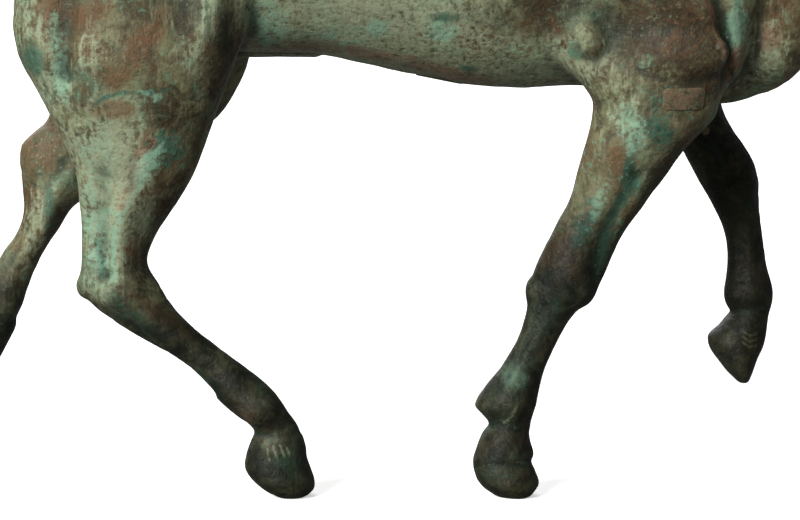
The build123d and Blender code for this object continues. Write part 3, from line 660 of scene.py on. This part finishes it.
def weathered_and_shaded(points, quads):
    """The painted patina with its few painted shadows and highlights, the hollows, the rubbed ridges
    and the painted shade and darker patina of the lower legs, as colours of a surface's points.
    """
    out = normals_of(points, quads)
    near = coverage(points, NEAR_SPOTS, NEAR_STROKES)
    far = coverage(points, FAR_SPOTS, FAR_STROKES)
    faces_right = np.clip(0.5 - out[:, 1] * 2, 0, 1)[:, None]
    cover = np.where(points[:, 1:2] < 0, near, far) * faces_right
    height = hollowness(points, out, quads, passes=14)
    hollow = np.clip(height / HOLLOW, 0, 1)
    ridge = np.clip((-height - RUBBED[0]) / RUBBED[1], 0, 1)
    x, y, z = points.T
    # How far down each leg the painted shade and darker patina have come, from 0 to 1.
    left_fore, right_fore, hind = ((start - z) / over for start, over in DARKENING)
    low = np.clip(np.where(x > 0, np.where(y > 0, left_fore, right_fore), hind), 0, 1)
    mint, teal, rust, umber_and_shade, copper_and_highlight, ash_and_highlight = cover.T
    return {
        "cool": np.column_stack([mint, teal, ash_and_highlight]),
        "warm": np.column_stack([rust, umber_and_shade, copper_and_highlight]),
        # Its last part is the painted shade and darker patina of the lower legs.
        "wear": np.column_stack([hollow, ridge, low]),
    }


# ---- materials
def tone(red, green, blue):
    """A colour given as it looks on a screen, 0 to 255, as Blender wants it."""
    values = np.array([red, green, blue]) / 255
    linear = np.where(values < 0.04045, values / 12.92, ((values + 0.055) / 1.055) ** 2.4)
    return (*linear.tolist(), 1.0)


class Value:
    """A number or a colour inside a material, from a node's output."""

    def __init__(self, tree, socket):
        self.tree, self.socket = tree, socket

    def maths(self, operation, other):
        """One sum of this value and another."""
        return node(self.tree, "ShaderNodeMath", {0: self, 1: other}, operation=operation)

    def __add__(self, other):
        return self.maths("ADD", other)

    def __sub__(self, other):
        return self.maths("SUBTRACT", other)

    def __mul__(self, other):
        return self.maths("MULTIPLY", other)

    def span(self, low, high, top=1.0):
        """0 below low, the top value above high and a smooth step between them."""
        edges = {"Value": self, "From Min": low, "From Max": high, "To Max": top}
        return node(self.tree, "ShaderNodeMapRange", edges, interpolation_type="SMOOTHSTEP")

    def less(self, amount, share):
        """The value without this share of itself where the amount is 1."""
        return self * (amount * -share + 1.0)


def join(tree, made, inputs):
    """Set a node's inputs to plain values, or join them to other nodes' outputs."""
    for key, value in inputs.items():
        if isinstance(value, Value):
            tree.links.new(value.socket, made.inputs[key])
        else:
            made.inputs[key].default_value = value


def node(tree, kind, inputs, output=0, **settings):
    """The output of a new shader node with these inputs and settings."""
    made = tree.nodes.new(kind)
    for key, value in settings.items():
        setattr(made, key, value)
    join(tree, made, inputs)
    return Value(tree, made.outputs[output])


def grain(tree, scale, stretch=(1, 1, 1), detail=5.0, twist=0.0):
    """Noise over the object, from 0 to 1, with this many lumps in a metre."""
    place = node(tree, "ShaderNodeTexCoord", {}, "Object")
    place = node(tree, "ShaderNodeMapping", {"Vector": place, "Scale": stretch})
    look = {"Vector": place, "Scale": scale, "Detail": detail, "Roughness": 0.6, "Distortion": twist}
    return node(tree, "ShaderNodeTexNoise", look, "Fac")


def blend(amount, under, over):
    """One colour over another."""
    return node(amount.tree, "ShaderNodeMix", {0: amount, 6: under, 7: over}, 2, data_type="RGBA")


def coated(colour, *coats):
    """A colour under thin coats, each given as an amount and a colour as it looks on a screen."""
    for amount, *over in coats:
        colour = blend(amount, colour, tone(*over))
    return colour


def channels(tree, name):
    """The three parts of a colour attribute."""
    attribute = node(tree, "ShaderNodeAttribute", {}, "Color", attribute_name=name)
    return [node(tree, "ShaderNodeSeparateColor", {0: attribute}, part) for part in range(3)]


def camera_only(tree):
    """1 for what the camera sees itself, 0 for light on its way to something else."""
    return node(tree, "ShaderNodeLightPath", {}, "Is Camera Ray")


SHEEN = 0.16  # Specular IOR Level of dry patina


def finished(name, recipe):
    """A material whose colour, roughness, metal, bump height and bump depth come from a recipe."""
    made = bpy.data.materials.new(name)
    made.use_nodes = True
    tree = made.node_tree
    colour, rough, metal, height, depth = recipe(tree)
    bump = node(tree, "ShaderNodeBump", {"Height": height, "Strength": 1.0, "Distance": depth})
    surface = {"Base Color": colour, "Roughness": rough, "Metallic": metal, "Normal": bump}
    join(tree, tree.nodes["Principled BSDF"], {**surface, "Specular IOR Level": SHEEN})
    return made


def patina(tree):
    """Verdigris over bronze: olive and brown clouds, brushed streaks, paint, hollows and pits, with a
    few painted shadows and highlights in the paint and painted shade with darker patina on the lower
    legs.
    """
    cloud = grain(tree, 24, detail=6)
    drift = grain(tree, 31, detail=6, twist=0.4)
    patch = grain(tree, 85, detail=7, twist=0.6)
    crumb = grain(tree, 190, detail=7, twist=0.8)
    fine = grain(tree, 420, detail=6)
    speck = grain(tree, 900, detail=2)
    upright = grain(tree, 1, (420, 420, 34), detail=4)
    level_streak = grain(tree, 1, (30, 420, 420), detail=4)

    colour = coated(
        blend(patch.span(0.36, 0.64), tone(68, 62, 44), tone(108, 108, 80)),
        (cloud.span(0.48, 0.6, 0.65), 84, 62, 40),
        (drift.span(0.5, 0.64, 0.65), 84, 106, 84),
        (crumb.span(0.54, 0.68, 0.5), 92, 136, 110),
        (crumb.span(0.46, 0.32, 0.45), 54, 46, 32),
        (upright.span(0.54, 0.74, 0.4), 146, 146, 118),
        (level_streak.span(0.54, 0.74, 0.3), 56, 48, 34),
    )
    mint, teal, ash_and_highlight = channels(tree, "cool")
    rust, umber_and_shade, copper_and_highlight = channels(tree, "warm")
    # The last part of this colour is the painted shade and darker patina of the lower legs.
    hollow, ridge, low = channels(tree, "wear")
    broken = crumb * 1.8 + fine * 2.0 - 1.9
    # The brown paint also lays the painted shade, and the pale and pink paints the painted highlights,
    # of a few spots and strokes.
    for amount, edge, most, paint in (
        (ash_and_highlight, upright, 0.75, (136, 144, 116)),
        (umber_and_shade, cloud, 0.85, (42, 31, 20)),
        (rust, patch, 0.75, (90, 61, 38)),
        (teal, drift, 0.8, (38, 78, 64)),
        (mint, drift, 0.7, (116, 150, 126)),
        (copper_and_highlight, patch, 0.75, (116, 88, 70)),
    ):
        painted = amount * 0.9 + (broken + (edge - 0.5) * 2.0)
        shown = painted.span(0.05, 0.95, most) * amount.span(0.0, 0.35)
        colour = coated(colour, (shown, *paint))

    # Painted shade and darker patina on the lower legs, a little broken by the patch noise.
    dark = low * (patch.span(0.3, 0.7, -0.25) + 1.0)
    rubbed = (ridge * fine.span(0.35, 0.6)).less(low, 0.7)
    crust = fine.span(0.56, 0.68) * drift.span(0.45, 0.62, 0.5)
    colour = coated(
        colour,
        (fine.span(0.48, 0.36, 0.22), 50, 46, 32),
        (level_streak.span(0.54, 0.74, 0.25), 70, 62, 44),
        # This near-black coat is that painted shade and darker patina, held back under mint and pale
        # paint.
        (dark.less(mint, 0.5).less(ash_and_highlight, 0.4), 13, 17, 9),
        (hollow * 0.75, 24, 36, 28),
        (rubbed * 0.4, 146, 136, 102),
        (crust.less(low, 0.8), 124, 150, 124),
    )
    pit = (speck.span(0.24, 0.34) + cloud.span(0.5, 0.44)).maths("MINIMUM", 1.0)
    colour = blend(pit, tone(30, 28, 22), colour)
    rough = fine.span(0.3, 0.7, 0.22) + mint.span(0.2, 0.8, 0.16) + 0.42
    height = fine * 0.7 + pit * 0.35 + upright * 0.3 + patch * 0.9
    return colour, rough, rubbed * 0.35 + 0.08, height, 0.0009


def copper_brown(tree):
    """Plugs and pins of a redder bronze, filed, tarnished and flecked with green."""
    patch = grain(tree, 140, detail=6, twist=0.5)
    file_marks = grain(tree, 1, (60, 900, 900), detail=4)
    fine = grain(tree, 700, detail=5)
    colour = coated(
        blend(patch.span(0.35, 0.65), tone(60, 50, 39), tone(106, 87, 66)),
        (file_marks.span(0.5, 0.7, 0.35), 122, 102, 78),
        (fine.span(0.48, 0.62, 0.7), 84, 98, 76),
    )
    rough = fine.span(0.3, 0.7, 0.3) + 0.4
    return colour, rough, patch.span(0.3, 0.7, 0.3), fine + file_marks * 0.6, 0.0005


def turned_bronze(tree):
    """The bushes: bare machined bronze with turning marks and a few stains."""
    patch = grain(tree, 260, detail=6, twist=0.4)
    turning = grain(tree, 1, (90, 90, 2600), detail=3)
    fine = grain(tree, 1500, detail=3)
    colour = blend(patch.span(0.4, 0.7), tone(176, 132, 74), tone(112, 80, 48))
    colour = coated(colour, (turning.span(0.5, 0.7, 0.35), 206, 166, 104))
    rough = fine.span(0.3, 0.7, 0.2) + 0.24
    return colour, rough, patch.span(0.9, 0.3), turning + fine * 0.4, 0.0002


def chalk(tree):
    """The floor: pale matt plaster, faintly cloudy. It throws little light back up at the horse."""
    cloud = grain(tree, 2, detail=4)
    fine = grain(tree, 260, detail=4)
    pale = blend(cloud, tone(246, 246, 245), tone(250, 250, 249))
    colour = blend(camera_only(tree), tone(120, 120, 118), pale)
    return colour, fine * 0.1 + 0.85, 0.0, fine, 0.0001


METALS = {
    "patinated_bronze": finished("patinated_bronze", patina),
    "pin_bronze": finished("filed_bronze", copper_brown),
    "bush_bronze": finished("machined_bronze", turned_bronze),
}


# ---- taking the surface off the grid
def skin(shape, low, high, voxel):
    """The surface of a distance function as points and quads, off a grid that is fine near it."""
    low = np.array(low, float)
    side = BLOCK * voxel
    count = np.ceil((np.array(high) - low) / side).astype(int)
    index = np.stack(np.meshgrid(*[np.arange(n) for n in count], indexing="ij"), -1).reshape(-1, 3)
    middle = low + (index + 0.5) * side
    coarse = shape(middle[:, None, :])[:, 0]
    near = np.abs(coarse) < side * 1.5
    offsets = np.stack(np.meshgrid(*[np.arange(BLOCK)] * 3, indexing="ij"), -1).reshape(-1, 3) * voxel
    corners = low + index[near] * side
    fine = shape(corners[:, None, :] + offsets)
    grid = np.empty((count[0], BLOCK, count[1], BLOCK, count[2], BLOCK), np.float32)
    grid[:] = np.where(coarse < 0, -FAR, FAR).reshape(count)[:, None, :, None, :, None]
    ix, iy, iz = index[near].T
    grid[ix, :, iy, :, iz, :] = fine.reshape(-1, BLOCK, BLOCK, BLOCK)
    volume = openvdb.FloatGrid(FAR)
    volume.copyFromArray(np.ascontiguousarray(grid.reshape(count * BLOCK)))
    points, quads = volume.convertToQuads(0.0)
    return low + points.astype(float) * voxel, quads.astype(int)


def placed(name, data):
    """A new object in the scene."""
    obj = bpy.data.objects.new(name, data)
    bpy.context.scene.collection.objects.link(obj)
    return obj


def piece(part, ending, slot, points, faces, colours=None):
    """A smooth object that stands for a CAD node, from points in millimetres, faces and colours."""
    name = f"{part}_{ending}"
    mesh = bpy.data.meshes.new(name)
    mesh.materials.append(METALS[slot])
    mesh.from_pydata((points * MM).tolist(), [], [list(map(int, face)) for face in faces])
    for key, values in (colours or {}).items():
        rows = np.column_stack([values, np.ones(len(points))])
        mesh.color_attributes.new(key, "FLOAT_COLOR", "POINT").data.foreach_set("color", rows.ravel())
    obj = placed(name, mesh)
    mesh.shade_smooth()
    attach(obj, "root")
    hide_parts(part)
    return obj


def roughened(points, quads):
    """The skin with the slight waves and dents of a hand-worked wax and a sand-pitted casting."""
    waves = 0.35 * noise(points, 13)
    dents = 0.16 * noise(points, 5, 3.3)
    pits = np.clip(noise(points, 3.1, 7.7) - 0.45, 0, 1)
    pitted = np.clip(noise(points, 31, 1.9) + 0.2, 0, 1)
    push = waves + dents - 1.3 * pits * pitted
    return points + normals_of(points, quads) * push[:, None]


CAST = ("bronze", "patinated_bronze")  # the ending of a casting's name, and its slot
SKIN_LOW = (-262.0, -88.0, -4.0)
SKIN_HIGH = (358.0, 88.0, 560.0)
skin_points, skin_quads = skin(field, SKIN_LOW, SKIN_HIGH, VOXEL)
skin_points = roughened(skin_points, skin_quads)
sole = (skin_points[:, 2] < 0.6) & (skin_points[:, 1] < 0)  # of the two hooves on the ground
skin_points[sole, 2] = np.maximum(skin_points[sole, 2], 0.0)
skin_colours = weathered_and_shaded(skin_points, skin_quads)
quad_centres = skin_points[skin_quads].mean(1)


# ---- castings
def beyond(seam, margin):
    """Which quads lie past a seam by more than a margin."""
    place, out = seam
    return (quad_centres - place) @ out > margin


def casting(name, chosen, cuts):
    """One casting: the chosen part of the skin, cut at its seams and closed there.

    A cut is a seam, the side that is taken away (+1 is past the seam) and the half of the horse that
    it works on (+1 is the front, -1 the rear, 0 both).
    """
    used, faces = np.unique(skin_quads[chosen], return_inverse=True)
    colours = {key: values[used] for key, values in skin_colours.items()}
    obj = piece(name, *CAST, skin_points[used], faces.reshape(-1, 4), colours)
    bm = bmesh.new()
    bm.from_mesh(obj.data)
    for (place, out), away, half in cuts:
        faces = [f for f in bm.faces if half == 0 or half * f.verts[0].co.x > 0]
        edges = dict.fromkeys(edge for face in faces for edge in face.edges)
        verts = dict.fromkeys(vert for face in faces for vert in face.verts)
        bmesh.ops.bisect_plane(
            bm,
            geom=[*faces, *edges, *verts],
            plane_co=Vector(place * MM),
            plane_no=Vector(out * away),
            clear_outer=True,
        )
    rim = [edge for edge in bm.edges if edge.is_boundary]
    for edge in rim:
        edge.smooth = False
    for face in bmesh.ops.holes_fill(bm, edges=rim, sides=0)["faces"]:
        face.smooth = False
    bm.to_mesh(obj.data)
    bm.free()


MARGIN = 3.0  # how much skin past a seam is handed to a casting before it is cut
front = quad_centres[:, 0] > 0
for name, in_front, side, seam in (
    ("right_fore_leg", True, RIGHT, FORE_SEAM),
    ("left_fore_leg", True, LEFT, FORE_SEAM),
    ("right_hind_leg", False, RIGHT, HIND_SEAM),
    ("left_hind_leg", False, LEFT, HIND_SEAM),
):
    limb = (front == in_front) & (quad_centres[:, 1] * side > 0) & ~beyond(seam, MARGIN)
    casting(name, limb, [(seam, 1, 0)])

above_legs = np.where(front, beyond(FORE_SEAM, -MARGIN), beyond(HIND_SEAM, -MARGIN))
torso_cuts = [(FORE_SEAM, -1, 1), (HIND_SEAM, -1, -1), (NECK_SEAM, 1, 0), (TAIL_SEAM, 1, 0)]
casting("torso", above_legs & ~beyond(NECK_SEAM, MARGIN), torso_cuts)
neck_part = beyond(NECK_SEAM, -MARGIN) & ~beyond(HEAD_SEAM, MARGIN)
casting("neck", neck_part, [(NECK_SEAM, -1, 0), (HEAD_SEAM, 1, 0)])
casting("head", beyond(HEAD_SEAM, -MARGIN), [(HEAD_SEAM, -1, 0)])


# ---- hair and ears, swept along rings
def strands(count, depth, turn):
    """Grooves between strands that run along a lock and wander round it."""

    def groove(s, theta):
        wander = turn * (np.sin(4 * s + 1) + 0.4 * np.sin(11 * s + 2 * theta))
        ridge = np.abs(np.sin(count / 2 * (theta + wander)))
        fine = np.abs(np.sin(count * 1.5 * (theta + 1.4 * wander) + 1))
        return 1 - depth * (1 - ridge) ** 1.5 - depth / 3 * (1 - fine)

    return groove


def tufts(count, depth):
    """Hair that stands up from the crest in tufts, with grooves square to it."""

    def groove(s, theta):
        lean = s + 0.006 * np.cos(theta)
        tuft = np.abs(np.sin(math.pi * count * lean))
        fine = np.abs(np.sin(math.pi * count * 3.7 * lean + 1))
        return 1 - depth * (1 - tuft) ** 2 - depth / 2 * (1 - fine)

    return groove


def shell(outwards):
    """The hollow in the front of an ear, turned a little outwards."""

    def groove(s, theta):
        front = np.cos(theta - math.pi + 0.45 * outwards)
        return 1 - 0.78 * np.clip(front - 0.35, 0, 1) ** 0.6 * np.sin(math.pi * s) ** 0.7

    return groove


def swept(name, rings, groove, around, count):
    """A closed mesh through rings square to their run. The groove scales points out from the middle."""
    rings = ring_run(rings, count)
    run = np.gradient(rings[:, :2], axis=0)
    run /= np.linalg.norm(run, axis=1, keepdims=True)
    s = np.linspace(0, 1, len(rings))[:, None]
    theta = np.linspace(0, 2 * math.pi, around, endpoint=False)[None, :]
    scale = groove(s, theta)
    x, z, depth, width, y = (rings[:, i : i + 1] for i in range(5))
    out = depth * np.cos(theta) * scale
    grid = np.stack([x - run[:, 1:] * out, y + width * np.sin(theta) * scale, z + run[:, :1] * out], -1)
    index = np.arange(grid.shape[0] * around).reshape(-1, around)
    near, far = index[:-1], index[1:]
    next_near, next_far = np.roll(near, -1, 1), np.roll(far, -1, 1)
    quads = np.stack([near, next_near, next_far, far], -1).reshape(-1, 4)
    points = grid.reshape(-1, 3)
    faces = quads.tolist() + [index[0, ::-1].tolist(), index[-1].tolist()]
    obj = piece(name, *CAST, points, faces, weathered_and_shaded(points, quads))
    bm = bmesh.new()
    bm.from_mesh(obj.data)
    bmesh.ops.recalc_face_normals(bm, faces=bm.faces)
    bm.to_mesh(obj.data)
    bm.free()


for name, rings, groove, around, count in (
    ("tail", TAIL, strands(18, 0.13, 0.35), 180, 24),
    ("mane", MANE, tufts(26, 0.16), 64, 40),
    ("forelock", FORELOCK, strands(9, 0.16, 0.5), 96, 16),
    ("right_ear", RIGHT_EAR, shell(RIGHT), 64, 16),
    ("left_ear", LEFT_EAR, shell(LEFT), 64, 16),
):
    swept(name, rings, groove, around, count)


# ---- metal let into the skin
def inlay(name, plugs, proud=0.25, depth=2.5, voxel=0.4):
    """Plugs filed nearly flush with the skin, as one mesh.

    A plug is a place near the skin, the way out, half its length and height and its corner radius.
    """
    all_points, all_quads, made = [], [], 0
    for place, out, half_long, half_high, corner in plugs:
        out = unit(out)
        along = unit(np.cross((0, 0, 1), out)) if abs(out[2]) < 0.9 else np.array([1.0, 0, 0])
        up = np.cross(out, along)
        line = np.array(place) + np.arange(30, -30, -0.25)[:, None] * out
        start = line[np.argmax(field_at(line) < 0)]

        def shape(blocks):
            q = blocks - start
            u = np.maximum(np.abs(q @ along) - half_long + corner, 0)
            v = np.maximum(np.abs(q @ up) - half_high + corner, 0)
            surface = field(blocks)
            return np.maximum.reduce([np.hypot(u, v) - corner, surface - proud, -surface - depth])

        reach = max(half_long, half_high) + depth + 2
        points, quads = skin(shape, start - reach, start + reach, voxel)
        all_points.append(points)
        all_quads.append(quads + made)
        made += len(points)
    piece(name, "metal", "pin_bronze", np.concatenate(all_points), np.concatenate(all_quads))


def pin_at(node, faces):
    """Round ends of a cross pin, on the wanted faces of its leg, from its place in the frame."""
    low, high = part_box(node)
    middle = np.array((low + high) / 2) / MM
    radius = (high.z - low.z) / 2 / MM
    return [(middle, (0, face, 0), radius, radius, radius) for face in faces]


NECK_ACROSS = np.array([0.920, 0, -0.391])  # from the crest to the throat, along the neck's seam
NECK_PIN_ROWS, NECK_PIN_SPREAD = (-10, 10), (-18, 18)
SMALL_PIN = (2, 2, 2)  # a round end: half its length, half its height and its corner radius
CHAPLET = (1.6, 1.6, 0.4)
FLANK, NECK_SIDE = 60, 25  # from the middle plane to the flanks and the neck's sides, roughly
CHAPLETS = ((-62, 318), (-30, 268), (30, 326), (64, 270))
TAIL_PIN = (-184.4, 0, 360)
CORE_PLUG = (20, 0, 210)
PATCH, PATCH_OUT = (139, -59.5, 202), (0.342, -0.940, 0)
for name, faces in (
    ("right_hind_pin", (RIGHT, LEFT)),
    ("left_hind_pin", (RIGHT, LEFT)),
    ("right_fore_pin", (LEFT,)),
    ("left_fore_pin", (RIGHT,)),
):
    inlay(name, pin_at(name, faces))
for side, word in ((RIGHT, "right"), (LEFT, "left")):
    ends = []
    for row, spread in itertools.product(NECK_PIN_ROWS, NECK_PIN_SPREAD):
        place = NECK_SEAM[0] + NECK_RUN * row + NECK_ACROSS * spread
        ends.append((place + np.array([0, side * NECK_SIDE, 0]), (0, side, 0), *SMALL_PIN))
    inlay(f"{word}_neck_pins", ends)
squares = []
for (x, z), side in itertools.product(CHAPLETS, (RIGHT, LEFT)):
    squares.append(((x, side * FLANK, z), (0, side, 0), *CHAPLET))
inlay("chaplets", squares)
inlay("tail_pin", [(TAIL_PIN, (0, 0, 1), *SMALL_PIN)])
inlay("core_plug", [(CORE_PLUG, (0, 0, -1), 12, 12, 12)])
inlay("repair_patch", [(PATCH, PATCH_OUT, 11, 5.5, 2.5)], proud=0.5)

for slot, names in (
    ("pin_bronze", ("neck_sleeve", "head_dowel", "mane_pegs")),
    ("bush_bronze", ("right_fore_stud_bush", "right_hind_stud_bush")),
):
    for name in names:
        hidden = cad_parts[name]
        hidden.data.materials.clear()
        hidden.data.materials.append(METALS[slot])

# ---- floor, light and camera
FLOOR_HALF = 12.0
floor_mesh = bpy.data.meshes.new("floor")
corners = [(x * FLOOR_HALF, y * FLOOR_HALF, 0) for x, y in ((-1, -1), (1, -1), (1, 1), (-1, 1))]
floor_mesh.from_pydata(corners, [], [(0, 1, 2, 3)])
plaster = finished("floor", chalk)
tree = plaster.node_tree
white = (1, 1, 1, 1)
glow = {"Emission Strength": camera_only(tree) * 0.5, "Emission Color": white}
join(tree, tree.nodes["Principled BSDF"], glow)
floor_mesh.materials.append(plaster)
placed("floor", floor_mesh)

BACKDROP = 1.0  # brightness of the backdrop as the camera sees it
FILL = 0.18  # brightness of the light that comes from all round
studio = bpy.data.worlds.new("studio")
bpy.context.scene.world = studio
studio.use_nodes = True
tree = studio.node_tree
strength = node(tree, "ShaderNodeMix", {0: camera_only(tree), 2: FILL, 3: BACKDROP})
join(tree, tree.nodes["Background"], {"Strength": strength, "Color": white})
bpy.context.scene.view_settings.view_transform = "Standard"


def aimed(name, data, place, target):
    """A lamp or the camera, turned towards a point."""
    obj = placed(name, data)
    obj.location = place
    obj.rotation_euler = (Vector(target) - Vector(place)).to_track_quat("-Z", "Y").to_euler()
    return obj


for name, place, power, spread in (
    ("key", (-1.0, -1.45, 0.85), 5.6, 28),
    ("back", (-0.5, 1.3, 0.9), 1.7, 45),
):
    sun = bpy.data.lights.new(name, "SUN")
    sun.energy = power
    sun.angle = math.radians(spread)
    aimed(name, sun, place, (0, 0, 0))
lens = bpy.data.cameras.new("camera")
lens.lens = 135
lens.sensor_width = 36
bpy.context.scene.camera = aimed("camera", lens, (0, -1.54, 0.275), (0, -0.04, 0.12))
